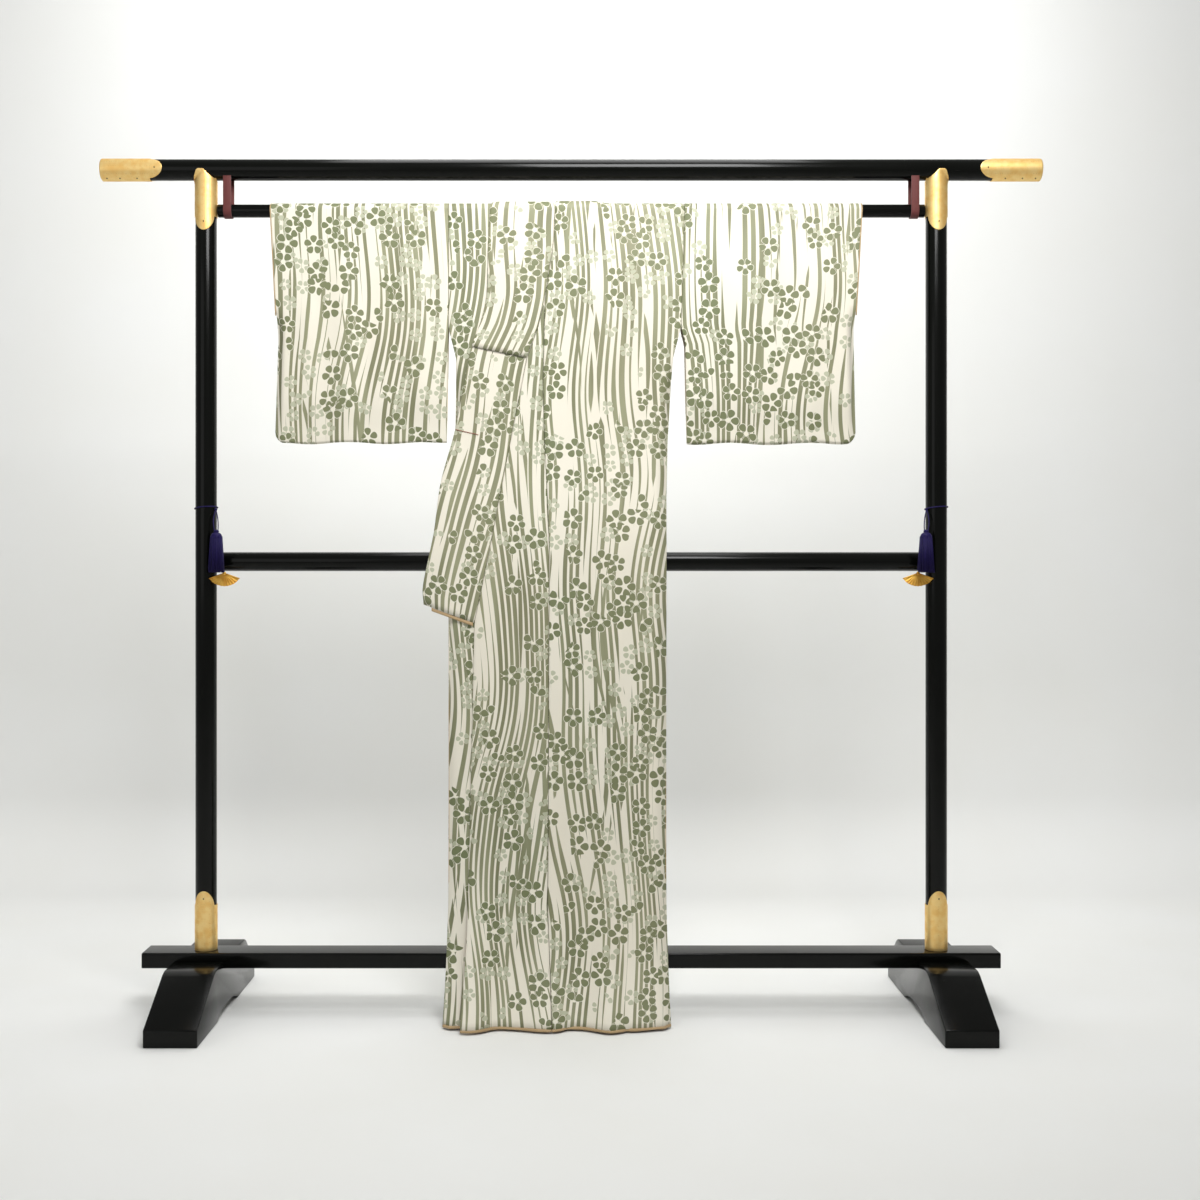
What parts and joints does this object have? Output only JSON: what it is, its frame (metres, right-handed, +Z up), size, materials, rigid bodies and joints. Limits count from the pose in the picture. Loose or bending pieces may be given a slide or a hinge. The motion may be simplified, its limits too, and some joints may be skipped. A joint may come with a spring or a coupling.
{
  "type": "komon kimono on a kimono rack",
  "caption": "Lined kimono with an all-over stripe and flower print, hung by its sleeves on the rod of a black lacquered kimono rack with gilt fittings.",
  "frame": {"origin": "centre of the rack on the floor", "axes": "+X towards the wearer's left (the viewer's right), +Y from the front to the back, +Z up"},
  "size_m": [1.876, 0.5, 1.7014],
  "materials": {
    "silk": "matte silk, printed with sage stripes and flowers on ivory",
    "lining": "matte ochre silk lining",
    "lacquer": "black gloss lacquer",
    "gilt": "gilt, lightly chased",
    "strap": "matte red-brown strap",
    "cord": "purple silk cord"
  },
  "bodies": {
    "root": {"body_right": "silk", "body_left": "silk", "okumi_right": "silk", "okumi_left": "silk", "collar": "silk", "over_collar": "silk", "collar_right": "silk", "sleeve_left": "silk", "sleeve_right": "silk", "lining_collar_end": "lining", "lining_cuff_left": "lining", "lining_cuff_right": "lining", "lining_hem_front_left": "lining", "lining_hem_okumi_left": "lining", "lining_hem_front_right": "lining", "lining_hem_okumi_right": "lining", "lining_hem_back_left": "lining", "lining_hem_back_right": "lining", "top_beam": "lacquer", "hanging_rod": "lacquer", "mid_rail": "lacquer", "low_rail": "lacquer", "post_left": "lacquer", "post_right": "lacquer", "foot_left": "lacquer", "foot_right": "lacquer", "beam_cap_left": "gilt", "beam_cap_right": "gilt", "fitting_high_left": "gilt", "fitting_high_right": "gilt", "fitting_low_left": "gilt", "fitting_low_right": "gilt", "fan_left": "gilt", "fan_right": "gilt", "loop_left": "strap", "loop_right": "strap", "tassel_left": "cord", "tassel_right": "cord", "tassel_cord_left": "cord", "tassel_cord_right": "cord"}
  },
  "joints": []
}
